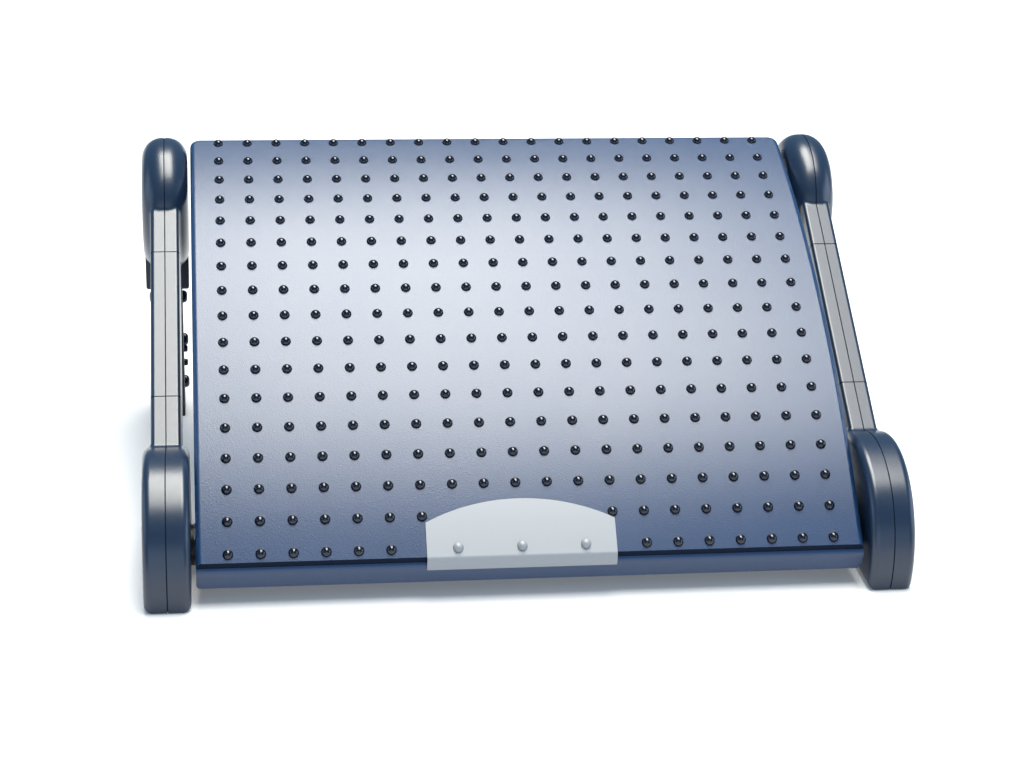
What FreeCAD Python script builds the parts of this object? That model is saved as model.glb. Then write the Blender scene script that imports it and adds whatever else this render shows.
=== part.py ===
import FreeCAD, Part
import math
import os

V = FreeCAD.Vector
os.makedirs("parts", exist_ok=True)

# Footrest: a curved tread with rows of domes, hinged low between two side frames, on two
# rear legs that slide up into the frames and stop at three heights.
# X runs to the right, Y to the rear and Z up. The floor is zero, under the middle of the object.

# Side frames, seen from the side: a foot disc in front, a bar and a round housing behind
disc_radius = 61.9
disc_width = 29.0
disc_round = 5.0
axle_height = 15.0
housing_radius = 46.0
housing_rim_flat = 1.6
housing_height = 158.3
reach = 234.7
bar_width = 19.2
bar_round = 2.6
bar_above_front = 33.5
bar_above_rear = 33.1
bar_below_front = 25.0
bar_below_rear = 22.0
bar_start_share = 0.5
neck_round = 5.0
seam_from_axle = 90.9
seam_from_housing = 67.6
wall = 2.2
housing_wall = 1.8
groove_width = 0.7
groove_depth = 0.7
fit_gap = 0.1

# Tread platform
platform_width = 419.0
platform_gap = 2.0
platform_radius = 673.0
platform_length = 352.4
platform_slope = 29.65
platform_wall = 3.0
rim_depth = 14.0
edge_ahead = 53.6
edge_above = 13.8
edge_round = 3.4
corner_round = 7.0
step_back = 1.5
lip_step = 3.2
ledge = 3.04
nose_round_share = 0.9
lip_drop = 13.14
lip_lean = 14.5
rib_thickness = 2.0
rib_depth = 8.0
long_ribs = 9
cross_ribs = 7

# Domes on the tread
dome_rows = 17
dome_pitch = 20.0
dome_side_margin = 18.5
dome_row_margin = 7.0
dome_radius = 3.3
dome_height = 3.0

# Badge plate, bent over the front edge
badge_width = 119.0
badge_offset = -8.7
badge_side_height = 23.7
badge_top_height = 38.1
badge_thickness = 0.9
badge_fold = 2.5
badge_bend_share = 0.8
badge_dome_spacing = 40.0
badge_domes = 3

# Hinge: a tie rod right through, bushes, friction washers, spring washers and nuts
rod_radius = 6.0
running_gap = 0.05
bush_wall = 2.5
bush_flange = 1.5
hub_floor_gap = 1.5
ear_thickness = 6.0
ear_spread = 26.0
washer_thickness = 2.0
washer_inset = 0.5
side_gap = 0.2
boss_radius = 10.5
spring_washer_radius = 9.5
spring_washer_height = 2.4
nut_across = 18.0
nut_height = 8.0
rod_end = 1.5

# Rear legs, their studs, tips and collars
leg_width = 20.0
leg_depth = 24.0
leg_wall = 3.0
leg_corner = 1.5
leg_inset = 6.5
slide_gap = 0.3
stud_count = 3
stud_first_share = 0.2232
stud_pitch_share = 0.3343
stud_radius_share = 0.136
stud_proud = 3.4
stud_shank = 2.6
stud_round = 2.8
pin_count = 2
pin_first_share = 0.4562
pin_pitch_share = 0.3233
pin_radius_share = 0.0755
pin_proud = 2.7
pin_shank = 1.5
pin_round = 1.2
tip_height = 6.0
plug_gap = 1.5
collar_wall = 1.2
collar_end_wall = 2.4
collar_round = 3.0
collar_height = 27.5
collar_sunk = 1.5
guide_height = 10.0
flange_height = 5.0
flange_reach = 3.0

# Foot pads, the steel spar in each bar, and the screws that close the shells
pad_proud = 0.6
pad_recess = 0.9
pad_width = 17.0
pad_length = 84.0
spar_thickness = 4.0
spar_depth = 28.0
spar_start = 24.0
screw_radius = 1.6
screw_head_radius = 3.2
screw_head_height = 2.4
screw_sunk = 0.6
screw_boss = 4.2
screw_end = 2.0
screw_from_seam = 12.6
screw_along_bar = 21.0
disc_screw_turns = (-10, 80, 170)

# One overrun serves every cut
over = 5.0

# Places that follow from the sizes above
stud_reach = leg_width / 2 + stud_proud
pin_reach = leg_width / 2 + pin_proud
cavity_half_width = stud_reach + slide_gap + fit_gap
housing_width = 2 * (cavity_half_width + housing_wall)
housing_round = housing_width / 2 - housing_rim_flat
half_spacing = platform_width / 2 + platform_gap + housing_width / 2
hub_radius = axle_height - hub_floor_gap
washer_radius = hub_radius - washer_inset
dome_columns = int((platform_width - 2 * dome_side_margin) / dome_pitch) + 1
depth = disc_radius + reach + housing_radius
axle_y = disc_radius - depth / 2
housing_y = depth / 2 - housing_radius
bar_length = math.hypot(reach, housing_height - axle_height)
bar_angle = math.atan2(housing_height - axle_height, reach)
seam_rear = bar_length - seam_from_housing
platform_half = platform_width / 2
half_arc = platform_length / platform_radius / 2
front_angle = math.radians(platform_slope) + half_arc
rear_angle = math.radians(platform_slope) - half_arc
edge_y = axle_y - edge_ahead
edge_z = axle_height + edge_above
arc_y = edge_y + platform_radius * math.sin(front_angle)
arc_z = edge_z - platform_radius * math.cos(front_angle)
lip_angle = math.radians(lip_lean)
lip_nose = lip_step * math.tan(front_angle - lip_angle) - step_back + ledge
lip_depth = ledge * math.cos(front_angle - lip_angle)
nose_turn = math.pi / 2 - front_angle + lip_angle
nose_round = nose_round_share * ledge / math.tan(nose_turn / 2)
hub_face = half_spacing - disc_width / 2 - washer_thickness - side_gap
collar_half_width = stud_reach + slide_gap + collar_wall
collar_half_depth = leg_depth / 2 + slide_gap + collar_end_wall
rim_fall = housing_round - math.sqrt(housing_round ** 2 - (collar_half_width - housing_rim_flat) ** 2)
side_drop = math.sqrt((housing_radius - rim_fall) ** 2 - collar_half_depth ** 2)
collar_shoulder = housing_height - side_drop + collar_sunk
collar_bottom = collar_shoulder - collar_height
guide_top = collar_shoulder + guide_height
leg_height = guide_top - leg_inset
stud_first_height = stud_first_share * collar_bottom
stud_pitch = stud_pitch_share * collar_bottom
stud_radius = stud_radius_share * stud_pitch
pin_first_height = stud_first_height + pin_first_share * stud_pitch
pin_pitch = pin_pitch_share * stud_pitch
pin_radius = pin_radius_share * stud_pitch
tip_plug_height = stud_first_height - stud_shank - plug_gap - tip_height
flange_half_depth = collar_half_depth + flange_reach
spar_reach = reach - flange_half_depth - slide_gap - spar_depth / 2 * math.sin(bar_angle)
spar_end = spar_reach / math.cos(bar_angle)


def block(x0, x1, y0, y1, z0, z1):
    """Box between two corners."""
    return Part.makeBox(x1 - x0, y1 - y0, z1 - z0, V(x0, y0, z0))


def rod(radius, x0, x1, y, z):
    """Round bar along X."""
    return Part.makeCylinder(radius, x1 - x0, V(x0, y, z), V(1, 0, 0))


def ring(outer, inner, x0, x1, y, z):
    """Tube or washer along X."""
    return rod(outer, x0, x1, y, z).cut(rod(inner, x0 - over, x1 + over, y, z))


def prism(points, x0, x1):
    """Straight-sided outline in the YZ plane, drawn out along X."""
    corners = [V(x0, y, z) for y, z in points]
    face = Part.Face(Part.makePolygon(corners + corners[:1]))
    return face.extrude(V(x1 - x0, 0, 0))


def side_rims(shape, half_width, slack):
    """Edges that lie in the two flat sides of a shape drawn out along X."""
    return [e for e in shape.Edges if e.BoundBox.XLength < slack
            and abs(abs(e.BoundBox.XMin) - half_width) < slack]


def round_sides(shape, half_width, radius):
    """Round the rims of both flat sides of a shape that was drawn out along X."""
    return shape.makeFillet(radius, side_rims(shape, half_width, radius / 10))


def bar_point(along, across):
    """Place in the side view, measured along and across the bar from the axle."""
    y = axle_y + along * math.cos(bar_angle) - across * math.sin(bar_angle)
    z = axle_height + along * math.sin(bar_angle) + across * math.cos(bar_angle)
    return y, z


def arc_point(angle, radius):
    """Place in the side view on a circle about the middle of the tread's curve."""
    return arc_y - radius * math.sin(angle), arc_z + radius * math.cos(angle)


# Side frame shells: the middle plane of a frame is at zero here, and X points away from the platform

def disc_body(inset):
    """Foot disc with its flat under side, smaller all round by the inset."""
    r = disc_radius - inset
    bottom = pad_proud + inset
    half = math.sqrt(r * r - (axle_height - bottom) ** 2)
    x = disc_width / 2 - inset
    front, rear = V(-x, axle_y - half, bottom), V(-x, axle_y + half, bottom)
    top = V(-x, axle_y, axle_height + r)
    wire = Part.Wire([Part.Arc(front, top, rear).toShape(), Part.makeLine(rear, front)])
    return round_sides(Part.Face(wire).extrude(V(2 * x, 0, 0)), x, disc_round - inset)


def housing_body(inset):
    """Round rear housing with its full rounded rim."""
    x = housing_width / 2 - inset
    body = rod(housing_radius - inset, -x, x, housing_y, housing_height)
    return round_sides(body, x, housing_round - inset)


def bar_body(inset):
    """Tapered bar from inside the foot disc to the middle of the housing."""
    start = bar_start_share * disc_radius
    outline = [bar_point(start, inset - bar_below_front), bar_point(bar_length, inset - bar_below_rear),
               bar_point(bar_length, bar_above_rear - inset), bar_point(start, bar_above_front - inset)]
    x = bar_width / 2 - inset
    return round_sides(prism(outline, -x, x), x, max(bar_round - inset, inset / 4))


def frame_body(inset, housing_inset):
    """Whole side frame as one body, smaller all round by the insets."""
    return disc_body(inset).fuse([bar_body(inset), housing_body(housing_inset)])


def lies_in(edge, skin):
    """Whether an edge lies in a skin all along."""
    span = edge.LastParameter - edge.FirstParameter
    points = [edge.valueAt(edge.FirstParameter + k * span / 4) for k in range(1, 4)]
    return max(skin.distToShape(Part.Vertex(p))[0] for p in points) < edge_round / 1000


def frame_outside():
    """Whole side frame with soft necks where the bar meets the disc and the housing."""
    body = frame_body(0, 0)
    disc, bar, housing = [Part.Compound(b.Faces) for b in (disc_body(0), bar_body(0), housing_body(0))]
    necks = [e for e in body.Edges if lies_in(e, bar) and (lies_in(e, disc) or lies_in(e, housing))]
    return body.makeFillet(neck_round, necks)


def section(start, end, x0, x1):
    """Region of the frame between two places along the bar and two along X."""
    tall = disc_radius + over
    return prism([bar_point(start, -tall), bar_point(end, -tall),
                  bar_point(end, tall), bar_point(start, tall)], x0, x1)


def grooves():
    """Fine grooves round the frame at both seams and along the parting line."""
    half = groove_width / 2
    slabs = [block(-half, half, -depth, depth, -over, depth)]
    slabs += [section(along - half, along + half, -housing_width, housing_width)
              for along in (seam_from_axle, seam_rear)]
    return slabs[0].fuse(slabs[1:]).cut(frame_body(groove_depth, groove_depth))


def screw_places():
    """Side-view places of the screws that close the shells, with half the width of the frame there."""
    alongs = (seam_from_axle - screw_from_seam, seam_from_axle + screw_along_bar,
              seam_rear - screw_along_bar, seam_rear + screw_from_seam)
    places = [bar_point(along, 0) + (bar_width / 2,) for along in alongs]
    r = disc_radius - wall - 2 * screw_boss
    for turn in disc_screw_turns:
        a = math.radians(turn)
        places.append((axle_y + r * math.cos(a), axle_height + r * math.sin(a), disc_width / 2))
    lobe = (flange_half_depth + housing_radius) / 2
    places.append((housing_y + lobe, housing_height, housing_width / 2))
    places.append((housing_y - lobe * math.cos(bar_angle), housing_height + lobe * math.sin(bar_angle),
                   housing_width / 2))
    return places


def shell_screws():
    """Screws of one frame, put in from the side that faces away from the platform."""
    screws = []
    for y, z, half in screw_places():
        seat = half - screw_head_height - screw_sunk
        head = rod(screw_head_radius, seat, seat + screw_head_height, y, z)
        screws.append(head.fuse(rod(screw_radius, wall + screw_end - half, seat, y, z)))
    return Part.makeCompound(screws)


def screw_bores():
    """Bores of the shell screws with the sinkings for their heads."""
    bores = []
    for y, z, half in screw_places():
        seat = half - screw_head_height - screw_sunk
        bores.append(rod(screw_head_radius + fit_gap, seat, half + over, y, z))
        bores.append(rod(screw_radius, wall + screw_end - half, seat, y, z))
    return bores


def spar_outline(gap):
    """Side view of the flat steel bar inside the frame."""
    half = spar_depth / 2 + gap
    return [bar_point(spar_start - gap, -half), bar_point(spar_end + gap, -half),
            bar_point(spar_end + gap, half), bar_point(spar_start - gap, half)]


def frame_spar():
    """Flat steel bar across both seams, held by the screws that pass through it."""
    bar = prism(spar_outline(0), -spar_thickness / 2, spar_thickness / 2)
    return bar.cut([rod(screw_radius, -over, over, y, z) for y, z, half in screw_places()])


def foot_pad(gap=0):
    """Rubber pad under the foot disc, or with a gap the recess that holds it."""
    half_width, half_length = pad_width / 2 + gap, pad_length / 2 + gap
    return block(-half_width, half_width, axle_y - half_length, axle_y + half_length,
                 0, pad_proud + pad_recess)


def frame_shell():
    """All the shells of one frame before they are parted."""
    body = frame_outside()
    shell = body.cut([grooves(), frame_body(wall, housing_wall)])
    bosses = [rod(screw_boss, -half, half, y, z).common(body) for y, z, half in screw_places()]
    hub = rod(boss_radius, -disc_width / 2, -spring_washer_height, axle_y, axle_height)
    shell = shell.fuse(bosses + [hub])
    spar_space = prism(spar_outline(fit_gap), -spar_thickness / 2, spar_thickness / 2)
    bore = rod(rod_radius, -disc_width, 0, axle_y, axle_height)
    return shell.cut(screw_bores() + [spar_space, collar_envelope(), foot_pad(fit_gap), bore])


def frame_pieces():
    """The six shells of one frame by name."""
    shell = frame_shell()
    before, after = -disc_radius - over, bar_length + housing_radius + over
    spans = {"foot": (before, seam_from_axle), "bar": (seam_from_axle, seam_rear),
             "rear_housing": (seam_rear, after)}
    pieces = {}
    for name, (start, end) in spans.items():
        pieces[name + "_inner"] = shell.common(section(start, end, -housing_width, 0))
        pieces[name + "_outer"] = shell.common(section(start, end, 0, housing_width))
    return pieces


# Rear leg, in the middle plane of its frame

def upright(half_width, half_depth, z0, z1):
    """Upright bar of rectangular section with rounded corners, in the middle of the housing."""
    bar = block(-half_width, half_width, housing_y - half_depth, housing_y + half_depth, z0, z1)
    corners = [e for e in bar.Edges if e.BoundBox.ZLength > leg_corner
               and max(e.BoundBox.XLength, e.BoundBox.YLength) < leg_corner]
    return bar.makeFillet(leg_corner, corners)


def collar_envelope():
    """Outer form of the leg collar: a body below, and a guide with a flange in the housing."""
    front, rear = housing_y - collar_half_depth, housing_y + collar_half_depth
    body = block(-collar_half_width, collar_half_width, front, rear, collar_bottom, collar_shoulder)
    lower = [e for e in body.Edges if e.BoundBox.ZMax < collar_bottom + fit_gap]
    body = body.makeFillet(collar_round, lower)
    guide = block(-cavity_half_width, cavity_half_width, front, rear, collar_shoulder, guide_top)
    flange = block(-cavity_half_width, cavity_half_width, housing_y - flange_half_depth,
                   housing_y + flange_half_depth, guide_top - flange_height, guide_top)
    return body.fuse([guide, flange])


def leg_collar():
    """Collar that guides the leg, with a groove on both sides for the studs to pass."""
    z0, z1 = collar_bottom - over, guide_top + over
    bore = upright(leg_width / 2 + slide_gap, leg_depth / 2 + slide_gap, z0, z1)
    half_groove = stud_radius + slide_gap
    groove = block(-stud_reach - slide_gap, stud_reach + slide_gap, housing_y - half_groove,
                   housing_y + half_groove, z0, z1)
    return collar_envelope().cut([bore, groove])


def stud_heights():
    """Heights of the studs that set the leg."""
    return [stud_first_height + k * stud_pitch for k in range(stud_count)]


def pin_heights():
    """Heights of the small pins."""
    return [pin_first_height + k * pin_pitch for k in range(pin_count)]


def leg():
    """Hollow leg, closed on top and open below for the tip."""
    tube = upright(leg_width / 2, leg_depth / 2, tip_height, leg_height)
    half_width, half_depth = leg_width / 2 - leg_wall, leg_depth / 2 - leg_wall
    room = block(-half_width, half_width, housing_y - half_depth, housing_y + half_depth,
                 tip_height - over, leg_height - leg_wall)
    holes = [rod(stud_shank, -leg_width, leg_width, housing_y, z) for z in stud_heights()]
    holes += [rod(pin_shank, -leg_width, leg_width, housing_y, z) for z in pin_heights()]
    return tube.cut([room] + holes)


def cross_pin(radius, end, shank, rounding, z):
    """Pin through the leg with a rounded head on each side."""
    pin = rod(shank, -leg_width / 2, leg_width / 2, housing_y, z)
    heads = []
    for x0, x1 in ((leg_width / 2, end), (-end, -leg_width / 2)):
        head = rod(radius, x0, x1, housing_y, z)
        heads.append(head.makeFillet(rounding, side_rims(head, end, rounding / 10)))
    return pin.fuse(heads)


def leg_studs():
    """Large cross pins that set the height of the leg."""
    return Part.makeCompound([cross_pin(stud_radius, stud_reach, stud_shank, stud_round, z)
                              for z in stud_heights()])


def leg_pins():
    """Small cross pins between the two lower studs."""
    return Part.makeCompound([cross_pin(pin_radius, pin_reach, pin_shank, pin_round, z)
                              for z in pin_heights()])


def leg_tip():
    """Rubber tip with a plug that fills the end of the leg."""
    tread = upright(leg_width / 2, leg_depth / 2, 0, tip_height)
    half_width, half_depth = leg_width / 2 - leg_wall, leg_depth / 2 - leg_wall
    plug = block(-half_width, half_width, housing_y - half_depth, housing_y + half_depth,
                 tip_height, tip_height + tip_plug_height)
    return tread.fuse(plug)


# Hinge at the middle of the foot discs

def tie_rod():
    """Rod through both frames and the platform, modelled at its place."""
    end = half_spacing + nut_height + rod_end
    return rod(rod_radius, -end, end, axle_y, axle_height)


def friction_washer():
    """Washer between the foot disc and the hub of the platform."""
    x = -disc_width / 2
    return ring(washer_radius, rod_radius, x - washer_thickness, x, axle_y, axle_height)


def spring_washer():
    """Spring washer that keeps the hinge tight."""
    return ring(spring_washer_radius, rod_radius, -spring_washer_height, 0, axle_y, axle_height)


def rod_nut():
    """Hexagon nut on the end of the rod."""
    corner = nut_across / math.sqrt(3)
    turns = [math.pi / 3 * k for k in range(6)]
    points = [(axle_y + corner * math.cos(a), axle_height + corner * math.sin(a)) for a in turns]
    bore = rod(rod_radius, -over, nut_height + over, axle_y, axle_height)
    return prism(points, 0, nut_height).cut(bore)


def hub_bush():
    """Flanged bush in the hub of the platform, running on the rod."""
    bore = rod_radius + running_gap
    ear = platform_half - ear_thickness - half_spacing
    sleeve = ring(bore + bush_wall, bore, ear, hub_face - half_spacing, axle_y, axle_height)
    return sleeve.fuse(ring(bore + 2 * bush_wall, bore, ear - bush_flange, ear, axle_y, axle_height))


# Platform, modelled at its place

def band(outer, inner, angle_0, angle_1, x0, x1):
    """Curved slab between two radii and two angles of the tread."""
    turns = (angle_0, (angle_0 + angle_1) / 2, angle_1)
    a, b, c = [V(x0, *arc_point(t, outer)) for t in turns]
    f, e, d = [V(x0, *arc_point(t, inner)) for t in turns]
    edges = [Part.Arc(a, b, c).toShape(), Part.makeLine(c, d),
             Part.Arc(d, e, f).toShape(), Part.makeLine(f, a)]
    return Part.Face(Part.Wire(edges)).extrude(V(x1 - x0, 0, 0))


def from_edge(forward, out):
    """Place in the side view, measured from the front edge of the tread along and out of it."""
    y = edge_y - forward * math.cos(front_angle) - out * math.sin(front_angle)
    z = edge_z - forward * math.sin(front_angle) + out * math.cos(front_angle)
    return y, z


def on_tread(edge):
    """Whether an edge lies in the curved top face, apart from the straight front edge."""
    span = edge.LastParameter - edge.FirstParameter
    points = [edge.valueAt(edge.FirstParameter + k * span / 4) for k in range(5)]
    away = max(abs(math.hypot(p.y - arc_y, p.z - arc_z) - platform_radius) for p in points)
    return away < edge_round / 100 and max(p.z for p in points) > edge_z + edge_round


def lip_place(down, inward):
    """Place in the side view, measured from the nose of the lip down its face and inward from it."""
    y, z = from_edge(lip_nose, -lip_step)
    return (y + down * math.sin(lip_angle) + inward * math.cos(lip_angle),
            z - down * math.cos(lip_angle) + inward * math.sin(lip_angle))


def side_edges(shape, start, end):
    """Edges in the sides of a shape drawn out along X, between two places of the side view."""
    y, z = (start[0] + end[0]) / 2, (start[1] + end[1]) / 2
    slack = edge_round / 100
    return [e for e in shape.Edges if e.BoundBox.XLength < slack
            and math.hypot(e.CenterOfMass.y - y, e.CenterOfMass.z - z) < slack]


def across_edges(shape, place):
    """Edges across nearly the whole width of a shape, through a place of the side view."""
    slack = edge_round / 100
    return [e for e in shape.Edges if e.BoundBox.XLength > shape.BoundBox.XLength - 2 * edge_round
            and math.hypot(e.CenterOfMass.y - place[0], e.CenterOfMass.z - place[1]) < slack]


def tread_block():
    """Tread and rims as a solid block, its edges rounded, with a straight step in front."""
    x = platform_half
    under = platform_radius - rim_depth
    front = front_angle - step_back / platform_radius
    rear_end = [arc_point(rear_angle, under), arc_point(rear_angle, platform_radius)]
    turns = (rear_angle, (rear_angle + front) / 2, front)
    a, b, c = [V(-x, *arc_point(t, platform_radius)) for t in turns]
    step = V(-x, *lip_place(lip_drop - edge_round, lip_depth))
    turns = (front_angle - rim_depth / under, (rear_angle + front_angle) / 2, rear_angle)
    d, e, f = [V(-x, *arc_point(t, under)) for t in turns]
    edges = [Part.Arc(a, b, c).toShape(), Part.makeLine(c, step), Part.makeLine(step, d),
             Part.Arc(d, e, f).toShape(), Part.makeLine(f, a)]
    solid = Part.Face(Part.Wire(edges)).extrude(V(2 * x, 0, 0))
    solid = solid.makeFillet(corner_round, side_edges(solid, *rear_end))
    return solid.makeFillet(edge_round, [s for s in solid.Edges if on_tread(s)])


def lip_block():
    """Lip along the front of the tread, its nose and its lower corners rounded."""
    x = platform_half
    foot = [lip_place(lip_drop, 0), lip_place(lip_drop, platform_wall)]
    outline = [from_edge(lip_nose - 2 * ledge, -lip_step), lip_place(0, 0)] + foot
    solid = prism(outline, -x, x)
    solid = solid.makeFillet(nose_round, across_edges(solid, lip_place(0, 0)))
    return solid.makeFillet(edge_round, side_edges(solid, *foot))


def platform_room():
    """Hollow under the tread, inside the rims and the lip."""
    x = platform_half - platform_wall
    inner = platform_radius - platform_wall
    start, end = rear_angle + platform_wall / inner, front_angle - platform_wall / inner
    far = platform_radius - 2 * rim_depth
    turns = (start, (start + end) / 2, end)
    a, b, c = [V(-x, *arc_point(t, inner)) for t in turns]
    f, e, d = [V(-x, *arc_point(t, far)) for t in turns]
    low = [lip_place(lip_drop / 4, platform_wall), lip_place(lip_drop + over, platform_wall),
           lip_place(lip_drop + over, 2 * rim_depth)]
    corners = [c] + [V(-x, *p) for p in low] + [d]
    edges = [Part.Arc(a, b, c).toShape()]
    edges += [Part.makeLine(p, q) for p, q in zip(corners, corners[1:])]
    edges += [Part.Arc(d, e, f).toShape(), Part.makeLine(f, a)]
    return Part.Face(Part.Wire(edges)).extrude(V(2 * x, 0, 0))


def ribs():
    """Ribs under the tread, along it and across it."""
    x = platform_half - platform_wall / 2
    skin = platform_radius - platform_wall
    outer, inner = skin + platform_wall / 2, skin - rib_depth
    start, end = rear_angle + platform_wall / skin, front_angle - 2 * platform_wall / skin
    places = [2 * x * k / (long_ribs + 1) - x for k in range(1, long_ribs + 1)]
    found = [band(outer, inner, start, end, p - rib_thickness / 2, p + rib_thickness / 2)
             for p in places]
    turns = [start + (end - start) * k / (cross_ribs + 1) for k in range(1, cross_ribs + 1)]
    half = rib_thickness / skin / 2
    return found + [band(outer, inner, t - half, t + half, -x, x) for t in turns]


def ear(side):
    """Ear that carries the hub below one rim of the platform."""
    turn = math.atan2(arc_y - axle_y, axle_height - arc_z)
    rise = math.hypot(arc_y - axle_y, axle_height - arc_z)
    skin = platform_radius - platform_wall / 2
    outline = [arc_point(turn - hub_radius / rise, rise), arc_point(turn + hub_radius / rise, rise),
               arc_point(turn + ear_spread / skin, skin), arc_point(turn - ear_spread / skin, skin)]
    x0, x1 = platform_half - ear_thickness, platform_half - platform_wall / 2
    plate = prism(outline, x0, x1).fuse(rod(hub_radius, x0, hub_face, axle_y, axle_height))
    bore = rod_radius + running_gap + bush_wall
    plate = plate.cut(rod(bore, x0 - over, hub_face + over, axle_y, axle_height))
    return plate if side > 0 else plate.mirror(V(0, 0, 0), V(1, 0, 0))


def platform():
    """Hollow platform with its ribs and ears."""
    block = tread_block().fuse(lip_block())
    return block.cut(platform_room()).fuse(ribs() + [ear(1), ear(-1)])


# Domes and badge plate

def covered(x, back):
    """Whether the badge plate lies where a dome would stand."""
    aside = abs(x - badge_offset)
    rise = badge_top_height - badge_side_height
    arch = (badge_width ** 2 / 4 + rise ** 2) / (2 * rise)
    near = min(aside, badge_width / 2)
    height = badge_top_height - arch + math.sqrt(arch ** 2 - near ** 2)
    return aside < badge_width / 2 + dome_radius and back < height + dome_radius


def dome(x, angle, radius):
    """One dome, standing square on the curved tread."""
    ball = (dome_radius ** 2 + dome_height ** 2) / (2 * dome_height)
    low = math.degrees(math.asin((ball - dome_height) / ball))
    cap = Part.makeSphere(ball, V(0, 0, dome_height - ball), V(0, 0, 1), low, 90, 360)
    cap.rotate(V(0, 0, 0), V(1, 0, 0), math.degrees(angle))
    cap.translate(V(x, *arc_point(angle, radius)))
    return cap


def platform_domes():
    """All the domes of the tread, in rows from the front edge to the rear."""
    step = (platform_length - 2 * dome_row_margin) / (dome_rows - 1)
    domes = []
    for row in range(dome_rows):
        back = dome_row_margin + row * step
        for column in range(dome_columns):
            x = (column - (dome_columns - 1) / 2) * dome_pitch
            if not covered(x, back):
                domes.append(dome(x, front_angle - back / platform_radius, platform_radius))
    return Part.makeCompound(domes)


def badge_plate():
    """Bare plate with an arched top, bent over the lip, with its own domes."""
    half = badge_width / 2
    x0, x1 = badge_offset - half, badge_offset + half
    top = platform_radius + badge_thickness
    plate = band(top, platform_radius, front_angle - 2 * badge_top_height / top, front_angle, x0, x1)
    fold = [from_edge(0, 0), lip_place(0, 0), lip_place(badge_fold, 0),
            lip_place(badge_fold, -badge_thickness),
            lip_place(-badge_thickness / 2, -badge_thickness), from_edge(0, badge_thickness)]
    plate = plate.fuse(prism(fold, x0, x1)).removeSplitter()
    nose = lip_place(0, 0)
    turn = math.atan2(edge_z - nose[1], edge_y - nose[0]) - front_angle
    bend = badge_bend_share * step_back / math.tan(turn / 2)
    plate = plate.makeFillet(bend, across_edges(plate, from_edge(0, 0)))
    plate = plate.makeFillet(bend + badge_thickness, across_edges(plate, from_edge(0, badge_thickness)))
    ends = [(x0, -2 * rim_depth), (x1, -2 * rim_depth), (x1, badge_side_height), (x0, badge_side_height)]
    a, b, c, d = [V(x, *from_edge(-back, -2 * over)) for x, back in ends]
    crown = V(badge_offset, *from_edge(-badge_top_height, -2 * over))
    wire = Part.Wire([Part.makeLine(a, b), Part.makeLine(b, c),
                      Part.Arc(c, crown, d).toShape(), Part.makeLine(d, a)])
    out = V(0, *from_edge(0, 4 * over)) - V(0, *from_edge(0, 0))
    plate = plate.common(Part.Face(wire).extrude(out))
    turn = front_angle - dome_row_margin / platform_radius
    places = [badge_offset + (k - (badge_domes - 1) / 2) * badge_dome_spacing for k in range(badge_domes)]
    return plate.fuse([dome(x, turn, top) for x in places])


# Every node, written once

def for_side(shape, side):
    """Carry a piece from the middle plane of a frame to its side, the left one mirrored."""
    moved = shape.copy()
    moved.translate(V(half_spacing, 0, 0))
    return moved if side > 0 else moved.mirror(V(0, 0, 0), V(1, 0, 0))


side_pieces = dict(frame_pieces(), frame_spar=frame_spar(), shell_screws=shell_screws(),
                   foot_pad=foot_pad(), leg_collar=leg_collar(), leg=leg(), leg_studs=leg_studs(),
                   leg_pins=leg_pins(), leg_tip=leg_tip(), hub_bush=hub_bush(),
                   friction_washer=friction_washer(), spring_washer=spring_washer(), rod_nut=rod_nut())
for name, shape in side_pieces.items():
    for_side(shape, -1).exportStep("parts/left_" + name + ".step")
    for_side(shape, 1).exportStep("parts/right_" + name + ".step")

centre_pieces = {"platform": platform(), "platform_domes": platform_domes(),
                 "badge_plate": badge_plate(), "tie_rod": tie_rod()}
for name, shape in centre_pieces.items():
    shape.exportStep("parts/" + name + ".step")
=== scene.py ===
import math
import bpy
from mathutils import Matrix, Vector

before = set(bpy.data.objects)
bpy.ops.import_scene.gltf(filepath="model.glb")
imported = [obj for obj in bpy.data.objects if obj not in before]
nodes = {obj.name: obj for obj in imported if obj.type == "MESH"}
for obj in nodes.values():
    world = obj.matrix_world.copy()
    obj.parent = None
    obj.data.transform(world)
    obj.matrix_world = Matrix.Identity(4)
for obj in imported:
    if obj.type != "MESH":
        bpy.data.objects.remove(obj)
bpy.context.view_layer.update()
sides = ("left", "right")


# Side frames: feet, bars and rear housings
# Each frame is closed from an inner and an outer half in three lengths, injection moulded in ABS
# that is dyed through in slate blue. The moulds are smooth, so the skin has a satin gloss.

slate_blue = "#0f2034"
slate_blue_pale = "#132439"
# Painted shade for the seams between mouldings and for the step under the tread
crevice_painted_shade = "#0e1829"
# Where the seams run, in metres: how far a frame's parting plane lies from the middle, where the
# bar starts and which way it runs, how far along it its two joints lie, and how far from a seam
# a corner still counts as in it
parting_plane = 0.2271
bar_start = Vector((0.0, -0.1094, 0.015))
bar_run = Vector((0.0, 0.2347, 0.1433)).normalized()
bar_joints = (0.0909, 0.2074)
seam_reach = 0.00045


def linear(code):
    """Turns an sRGB hex colour into the linear colour that a shader takes."""
    shares = [int(code[i:i + 2], 16) / 255 for i in (1, 3, 5)]
    return [s / 12.92 if s <= 0.04045 else ((s + 0.055) / 1.055) ** 2.4 for s in shares] + [1.0]


def start(name):
    """Starts a material with no nodes in it."""
    made = bpy.data.materials.new(name)
    made.use_nodes = True
    made.node_tree.nodes.clear()
    return made


def add(made, kind, inputs=None, **settings):
    """Adds a node to a material; an input takes a value, or the output socket that feeds it."""
    node = made.node_tree.nodes.new(kind)
    for name, value in settings.items():
        setattr(node, name, value)
    for name, value in (inputs or {}).items():
        if isinstance(value, bpy.types.NodeSocket):
            made.node_tree.links.new(value, node.inputs[name])
        else:
            node.inputs[name].default_value = value
    return node


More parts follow.
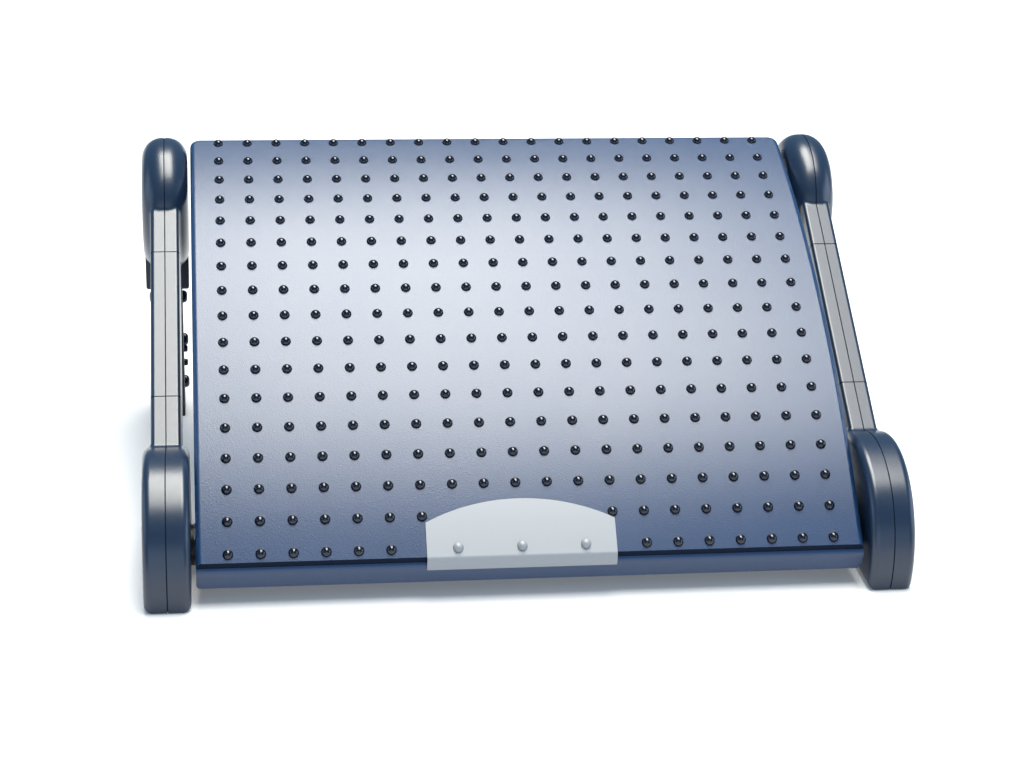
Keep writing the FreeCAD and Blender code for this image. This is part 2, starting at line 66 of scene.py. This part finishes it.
def finish_node(name, made, smooth_angle=35):
    """Gives a CAD node its material, and smooth shading over all but its real edges."""
    mesh = nodes[name].data
    mesh.materials.clear()
    mesh.materials.append(made)
    mesh.shade_smooth()
    mesh.set_sharp_from_angle(angle=math.radians(smooth_angle))


satin_abs = start("slate_abs_satin")
place = add(satin_abs, "ShaderNodeTexCoord").outputs["Object"]
# Faint clouds of dye, about 40 mm across
clouds = add(satin_abs, "ShaderNodeTexNoise", {"Vector": place, "Scale": 25.0, "Detail": 2.0})
tint = add(satin_abs, "ShaderNodeMix",
           {0: clouds.outputs["Fac"], 6: linear(slate_blue), 7: linear(slate_blue_pale)},
           data_type="RGBA")
# Handling marks dull the gloss a little, a few millimetres across
marks = add(satin_abs, "ShaderNodeTexNoise", {"Vector": place, "Scale": 260.0, "Detail": 3.0})
gloss = add(satin_abs, "ShaderNodeMapRange",
            {"Value": marks.outputs["Fac"], "To Min": 0.26, "To Max": 0.34})
# Spark-eroded mould skin, grain drawn at 0.5 mm, coarser than the real 0.1 mm
skin = add(satin_abs, "ShaderNodeTexNoise", {"Vector": place, "Scale": 2000.0, "Detail": 1.0})
relief = add(satin_abs, "ShaderNodeBump",
             {"Height": skin.outputs["Fac"], "Strength": 0.12, "Distance": 0.0001})
surface = add(satin_abs, "ShaderNodeBsdfPrincipled",
              {"Base Color": tint.outputs[2], "Roughness": gloss.outputs["Result"], "IOR": 1.54,
               "Normal": relief.outputs["Normal"]})
add(satin_abs, "ShaderNodeOutputMaterial", {"Surface": surface.outputs["BSDF"]})

# Seams between the mouldings are fine grooves, and hardly any light gets into them: their faces,
# and the face of the step under the tread, get this painted shade
painted_crevice_shade = start("painted_shade_in_seams_and_step")
surface = add(painted_crevice_shade, "ShaderNodeBsdfPrincipled",
              {"Base Color": linear(crevice_painted_shade), "Roughness": 0.8, "Specular IOR Level": 0.1})
add(painted_crevice_shade, "ShaderNodeOutputMaterial", {"Surface": surface.outputs["BSDF"]})


def in_a_seam(points):
    """Whether points all lie at the parting plane of a frame or at one joint across its bar."""
    if max(abs(abs(point.x) - parting_plane) for point in points) < seam_reach:
        return True
    runs = [(point - bar_start).dot(bar_run) for point in points]
    return any(max(abs(run - joint) for run in runs) < seam_reach for joint in bar_joints)


def shade_faces(name, wanted):
    """Gives a node the painted crevice shade on the faces whose corners, in metres, are wanted."""
    piece = nodes[name]
    piece.data.materials.append(painted_crevice_shade)
    corners = [piece.matrix_world @ corner.co for corner in piece.data.vertices]
    for face in piece.data.polygons:
        if wanted([corners[k] for k in face.vertices]):
            face.material_index = 1


for side in sides:
    for piece in ("foot", "bar", "rear_housing"):
        for half in ("inner", "outer"):
            finish_node(f"{side}_{piece}_{half}", satin_abs)
            shade_faces(f"{side}_{piece}_{half}", in_a_seam)


# Spars, screws, tie rod and nuts
# Zinc-plated mild steel: the flat spar stiffens the plastic bar, and the rod is the hinge.
# Plating over drawn steel is a dull silver with fine lines along the draw.

zinc_grey = "#a9adb2"
zinc_blue = "#9aa2ab"

plated_steel = start("zinc_plated_steel")
place = add(plated_steel, "ShaderNodeTexCoord").outputs["Object"]
# Drawing lines along X, 25 mm long and drawn at 0.3 mm, coarser than the real ones
stretch = add(plated_steel, "ShaderNodeMapping",
              {"Vector": place, "Scale": (40.0, 3000.0, 3000.0)})
lines = add(plated_steel, "ShaderNodeTexNoise",
            {"Vector": stretch.outputs["Vector"], "Scale": 1.0})
# Patches of the plating, about 3 mm across
spangle = add(plated_steel, "ShaderNodeTexNoise", {"Vector": place, "Scale": 300.0})
tint = add(plated_steel, "ShaderNodeMix",
           {0: spangle.outputs["Fac"], 6: linear(zinc_grey), 7: linear(zinc_blue)},
           data_type="RGBA")
gloss = add(plated_steel, "ShaderNodeMapRange",
            {"Value": lines.outputs["Fac"], "To Min": 0.28, "To Max": 0.42})
relief = add(plated_steel, "ShaderNodeBump",
             {"Height": lines.outputs["Fac"], "Strength": 0.1, "Distance": 0.0001})
surface = add(plated_steel, "ShaderNodeBsdfPrincipled",
              {"Base Color": tint.outputs[2], "Metallic": 1.0,
               "Roughness": gloss.outputs["Result"], "Normal": relief.outputs["Normal"]})
add(plated_steel, "ShaderNodeOutputMaterial", {"Surface": surface.outputs["BSDF"]})

finish_node("tie_rod", plated_steel)
for side in sides:
    for piece in ("frame_spar", "spring_washer", "rod_nut"):
        finish_node(f"{side}_{piece}", plated_steel)


# Shell screws
# Steel screws blackened in an oxide bath, sunk into the outer halves of the frames.

oxide_black = "#17181a"
oxide_worn = "#2b2d30"

blackened_steel = start("black_oxide_steel")
place = add(blackened_steel, "ShaderNodeTexCoord").outputs["Object"]
# Oxide rubbed thin by the driver, in patches of about 1 mm
wear = add(blackened_steel, "ShaderNodeTexNoise",
           {"Vector": place, "Scale": 900.0, "Detail": 2.0})
tint = add(blackened_steel, "ShaderNodeMix",
           {0: wear.outputs["Fac"], 6: linear(oxide_black), 7: linear(oxide_worn)},
           data_type="RGBA")
gloss = add(blackened_steel, "ShaderNodeMapRange",
            {"Value": wear.outputs["Fac"], "To Min": 0.45, "To Max": 0.32})
surface = add(blackened_steel, "ShaderNodeBsdfPrincipled",
              {"Base Color": tint.outputs[2], "Metallic": 0.8,
               "Roughness": gloss.outputs["Result"]})
add(blackened_steel, "ShaderNodeOutputMaterial", {"Surface": surface.outputs["BSDF"]})

for side in sides:
    finish_node(f"{side}_shell_screws", blackened_steel)


# Hub bushes and friction washers
# Turned from black acetal, a waxy engineering plastic that needs no grease.

acetal_black = "#141519"

acetal = start("black_acetal_turned")
place = add(acetal, "ShaderNodeTexCoord").outputs["Object"]
# Marks of the turning tool, about 1 mm across
turning = add(acetal, "ShaderNodeTexNoise", {"Vector": place, "Scale": 900.0})
gloss = add(acetal, "ShaderNodeMapRange",
            {"Value": turning.outputs["Fac"], "To Min": 0.35, "To Max": 0.5})
surface = add(acetal, "ShaderNodeBsdfPrincipled",
              {"Base Color": linear(acetal_black), "Roughness": gloss.outputs["Result"],
               "IOR": 1.48})
add(acetal, "ShaderNodeOutputMaterial", {"Surface": surface.outputs["BSDF"]})

for side in sides:
    for piece in ("hub_bush", "friction_washer"):
        finish_node(f"{side}_{piece}", acetal)


# Leg collars and legs
# Glass-filled nylon in the same slate, moulded in tools with a fine etched grain; the legs are
# rubbed by the collars and carry faint upright streaks where they slide.

nylon_slate = "#121d2f"
nylon_rubbed = "#1e2b3f"

filled_nylon = start("filled_nylon_etched")
place = add(filled_nylon, "ShaderNodeTexCoord").outputs["Object"]
# Rubbed streaks, about 1 mm wide and 80 mm long
upright = add(filled_nylon, "ShaderNodeMapping",
              {"Vector": place, "Scale": (900.0, 900.0, 12.0)})
streaks = add(filled_nylon, "ShaderNodeTexNoise",
              {"Vector": upright.outputs["Vector"], "Scale": 1.0, "Detail": 2.0})
rubbing = add(filled_nylon, "ShaderNodeMapRange",
              {"Value": streaks.outputs["Fac"], "From Min": 0.55, "From Max": 0.8})
tint = add(filled_nylon, "ShaderNodeMix",
           {0: rubbing.outputs["Result"], 6: linear(nylon_slate), 7: linear(nylon_rubbed)},
           data_type="RGBA")
# Etched grain and glass fibres at the skin, about 0.6 mm
etching = add(filled_nylon, "ShaderNodeTexNoise", {"Vector": place, "Scale": 1800.0})
relief = add(filled_nylon, "ShaderNodeBump",
             {"Height": etching.outputs["Fac"], "Strength": 0.2, "Distance": 0.0001})
gloss = add(filled_nylon, "ShaderNodeMapRange",
            {"Value": streaks.outputs["Fac"], "To Min": 0.5, "To Max": 0.36})
surface = add(filled_nylon, "ShaderNodeBsdfPrincipled",
              {"Base Color": tint.outputs[2], "Roughness": gloss.outputs["Result"], "IOR": 1.53,
               "Normal": relief.outputs["Normal"]})
add(filled_nylon, "ShaderNodeOutputMaterial", {"Surface": surface.outputs["BSDF"]})

for side in sides:
    finish_node(f"{side}_leg_collar", filled_nylon)
    finish_node(f"{side}_leg", filled_nylon)


# Height studs and small pins of the legs
# Acetal dyed dark blue, pressed into the leg from both sides, with polished round heads.

stud_blue = "#121a2b"

dyed_acetal = start("dyed_acetal_polished")
place = add(dyed_acetal, "ShaderNodeTexCoord").outputs["Object"]
# Scuffs from the collar, about 1.5 mm across
rubs = add(dyed_acetal, "ShaderNodeTexNoise", {"Vector": place, "Scale": 700.0})
gloss = add(dyed_acetal, "ShaderNodeMapRange",
            {"Value": rubs.outputs["Fac"], "To Min": 0.14, "To Max": 0.26})
surface = add(dyed_acetal, "ShaderNodeBsdfPrincipled",
              {"Base Color": linear(stud_blue), "Roughness": gloss.outputs["Result"], "IOR": 1.5})
add(dyed_acetal, "ShaderNodeOutputMaterial", {"Surface": surface.outputs["BSDF"]})

for side in sides:
    finish_node(f"{side}_leg_studs", dyed_acetal)
    finish_node(f"{side}_leg_pins", dyed_acetal)


# Foot pads and leg tips
# Moulded black rubber against slipping, dull and a little dusty.

rubber_black = "#1a1b1e"
rubber_dusty = "#2c2d30"

sole_rubber = start("black_sole_rubber")
place = add(sole_rubber, "ShaderNodeTexCoord").outputs["Object"]
# Specks of dust and pits of the moulding, 2 mm and finer
dust = add(sole_rubber, "ShaderNodeTexNoise", {"Vector": place, "Scale": 400.0, "Detail": 4.0})
tint = add(sole_rubber, "ShaderNodeMix",
           {0: dust.outputs["Fac"], 6: linear(rubber_black), 7: linear(rubber_dusty)},
           data_type="RGBA")
relief = add(sole_rubber, "ShaderNodeBump",
             {"Height": dust.outputs["Fac"], "Strength": 0.3, "Distance": 0.0002})
surface = add(sole_rubber, "ShaderNodeBsdfPrincipled",
              {"Base Color": tint.outputs[2], "Roughness": 0.75, "IOR": 1.52,
               "Normal": relief.outputs["Normal"]})
add(sole_rubber, "ShaderNodeOutputMaterial", {"Surface": surface.outputs["BSDF"]})

for side in sides:
    finish_node(f"{side}_foot_pad", sole_rubber)
    finish_node(f"{side}_leg_tip", sole_rubber)


# Platform
# One large hollow moulding in the same slate ABS, its tread etched with a fine leather-like
# grain that spreads the light of the soft box overhead into a broad silver sheen.

tread_blue = "#122e4f"
tread_blue_pale = "#143154"
# Where the face of the step between tread and lip lies, in metres, along Y and up; that face gets
# painted shade
step_front, step_rear = -0.1622, -0.1608
step_low, step_high = 0.0259, 0.0300

grained_abs = start("slate_abs_grained")
place = add(grained_abs, "ShaderNodeTexCoord").outputs["Object"]
# Faint clouds of dye, about 55 mm across
clouds = add(grained_abs, "ShaderNodeTexNoise", {"Vector": place, "Scale": 18.0, "Detail": 3.0})
tint = add(grained_abs, "ShaderNodeMix",
           {0: clouds.outputs["Fac"], 6: linear(tread_blue), 7: linear(tread_blue_pale)},
           data_type="RGBA")
# Etched leather-like grain, in cells of 0.8 mm
grain = add(grained_abs, "ShaderNodeTexVoronoi", {"Vector": place, "Scale": 1250.0})
relief = add(grained_abs, "ShaderNodeBump",
             {"Height": grain.outputs["Distance"], "Strength": 0.25, "Distance": 0.0002})
gloss = add(grained_abs, "ShaderNodeMapRange",
            {"Value": clouds.outputs["Fac"], "To Min": 0.31, "To Max": 0.35})
surface = add(grained_abs, "ShaderNodeBsdfPrincipled",
              {"Base Color": tint.outputs[2], "Roughness": gloss.outputs["Result"], "IOR": 1.54,
               "Normal": relief.outputs["Normal"]})
add(grained_abs, "ShaderNodeOutputMaterial", {"Surface": surface.outputs["BSDF"]})


def in_the_step(points):
    """Whether points all lie in the face of the narrow step that the lip keeps in the dark, which
    gets painted shade.
    """
    return all(step_front < point.y < step_rear and step_low < point.z < step_high
               for point in points)


finish_node("platform", grained_abs)
shade_faces("platform", in_the_step)


# Grip domes
# Soft thermoplastic rubber, nearly black, moulded through holes in the tread and left shiny.

dome_black = "#050b1a"

soft_rubber = start("soft_dome_rubber")
place = add(soft_rubber, "ShaderNodeTexCoord").outputs["Object"]
# Rubbed patches, about 2 mm across
rubs = add(soft_rubber, "ShaderNodeTexNoise", {"Vector": place, "Scale": 500.0})
gloss = add(soft_rubber, "ShaderNodeMapRange",
            {"Value": rubs.outputs["Fac"], "To Min": 0.07, "To Max": 0.12})
surface = add(soft_rubber, "ShaderNodeBsdfPrincipled",
              {"Base Color": linear(dome_black), "Roughness": gloss.outputs["Result"], "IOR": 1.5})
add(soft_rubber, "ShaderNodeOutputMaterial", {"Surface": surface.outputs["BSDF"]})

finish_node("platform_domes", soft_rubber)


# Badge plate
# Satin anodised aluminium sheet, left bare, pressed with its own domes and bent over the lip.
# The oxide layer is thick and milky, so it is less of a mirror than bare metal.

anodised_grey = "#8f9296"

anodised = start("satin_anodised_aluminium")
place = add(anodised, "ShaderNodeTexCoord").outputs["Object"]
# Etched grain, drawn at 0.7 mm, coarser than the real one
etch = add(anodised, "ShaderNodeTexNoise", {"Vector": place, "Scale": 1500.0})
gloss = add(anodised, "ShaderNodeMapRange",
            {"Value": etch.outputs["Fac"], "To Min": 0.56, "To Max": 0.64})
surface = add(anodised, "ShaderNodeBsdfPrincipled",
              {"Base Color": linear(anodised_grey), "Metallic": 0.45,
               "Roughness": gloss.outputs["Result"]})
add(anodised, "ShaderNodeOutputMaterial", {"Surface": surface.outputs["BSDF"]})

finish_node("badge_plate", anodised, smooth_angle=30)


# Studio
# A pale paper floor under one large soft box, with a weak reflector low on the left, on the
# right and in front, in a dim blue room. The paper glows faintly, so its shadows stay pale.

paper_grey = "#d2d3d4"
room_blue = "#b3daff"
lamp_white = "#fffdf5"
reflector_blue = "#d6e8ff"
paper_width = 14.0
paper_glow = 0.2
room_glow = 0.4
middle = Vector((0.0, 0.0, 0.1))

bpy.ops.mesh.primitive_plane_add(size=paper_width)
floor = bpy.context.object
floor.name = "studio_floor"
paper = start("paper_floor")
surface = add(paper, "ShaderNodeBsdfPrincipled",
              {"Base Color": linear(paper_grey), "Roughness": 0.9, "Specular IOR Level": 0.2,
               "Emission Color": linear(paper_grey), "Emission Strength": paper_glow})
add(paper, "ShaderNodeOutputMaterial", {"Surface": surface.outputs["BSDF"]})
floor.data.materials.append(paper)


def hang(name, spot, aim, width, depth, power, tint, turn=0.0):
    """Hangs a rectangular lamp at a spot, facing a point and turned about its own axis.

    The spot, the aim and the size are in metres, the power in watts and the turn in degrees.
    """
    lamp = bpy.data.lights.new(name, "AREA")
    lamp.shape = "RECTANGLE"
    lamp.size = width
    lamp.size_y = depth
    lamp.energy = power
    lamp.color = linear(tint)[:3]
    hung = bpy.data.objects.new(name, lamp)
    hung.location = spot
    hung.rotation_euler = (Vector(aim) - Vector(spot)).to_track_quat("-Z", "Y").to_euler()
    hung.rotation_euler.rotate_axis("Z", math.radians(turn))
    bpy.context.scene.collection.objects.link(hung)


hang("soft_box", (0.2, 0.4, 3.0), (0.2, 0.4, 0.0), 1.55, 2.7, 238.0, lamp_white, 10.0)
hang("left_reflector", (-1.6, 0.0, 0.5), middle, 1.4, 0.7, 5.0, reflector_blue)
hang("right_reflector", (1.6, -0.3, 0.5), middle, 1.4, 0.7, 9.0, reflector_blue)
hang("front_reflector", (-0.2, -2.2, 0.45), middle, 2.4, 1.0, 11.0, reflector_blue)

room = bpy.data.worlds.new("room")
room.use_nodes = True
backdrop = room.node_tree.nodes["Background"]
backdrop.inputs["Color"].default_value = linear(room_blue)
backdrop.inputs["Strength"].default_value = room_glow
bpy.context.scene.world = room
bpy.context.scene.view_settings.view_transform = "Standard"


# Camera
# A long lens above the front left corner, turned to the right, looking down and a little rolled,
# as in the photograph. Lens and sensor are in millimetres, the spot in metres, angles in degrees.

camera = bpy.data.cameras.new("camera")
camera.lens = 78.94
camera.sensor_width = 36.0
camera_spot = (-0.19637, -1.37137, 0.70032)
turned_right, looking_down, rolled = 8.309, 24.416, 2.288
shot = bpy.data.objects.new("camera", camera)
turn = Matrix.Rotation(math.radians(-turned_right), 4, "Z")
tilt = Matrix.Rotation(math.radians(90 - looking_down), 4, "X")
roll = Matrix.Rotation(math.radians(rolled), 4, "Z")
shot.matrix_world = Matrix.Translation(camera_spot) @ turn @ tilt @ roll
bpy.context.scene.collection.objects.link(shot)
bpy.context.scene.camera = shot
